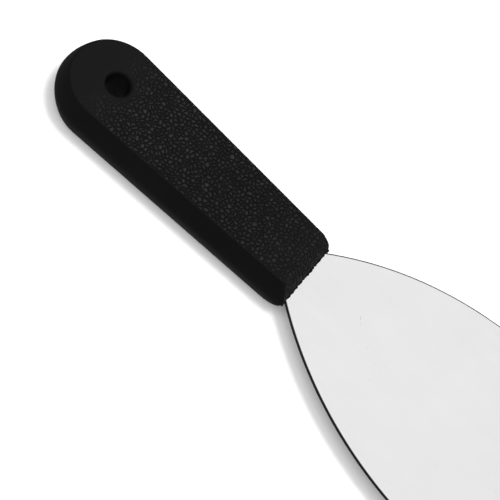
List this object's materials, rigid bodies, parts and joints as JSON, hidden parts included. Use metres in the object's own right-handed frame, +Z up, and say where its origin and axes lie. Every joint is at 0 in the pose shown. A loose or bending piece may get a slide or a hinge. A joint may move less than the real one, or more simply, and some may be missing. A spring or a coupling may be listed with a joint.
{
  "type": "bench scraper",
  "caption": "Flared bench scraper: a stamped steel blade whose hidden tang is moulded into a bevelled, grained plastic handle with a hanging hole in its round butt.",
  "frame": {"origin": "under the middle of the whole tool, on the surface that the handle's flat underside rests on", "axes": "+X along the handle towards the working edge, +Z up through the flat of the blade, +Y across the blade"},
  "size_m": [0.2256, 0.089, 0.0176],
  "materials": {
    "blade_steel": "fine satin stainless steel",
    "handle_plastic": "black moulded polypropylene with a pebbled grain"
  },
  "bodies": {
    "root": {"blade": "blade_steel", "handle": "handle_plastic"}
  },
  "joints": []
}
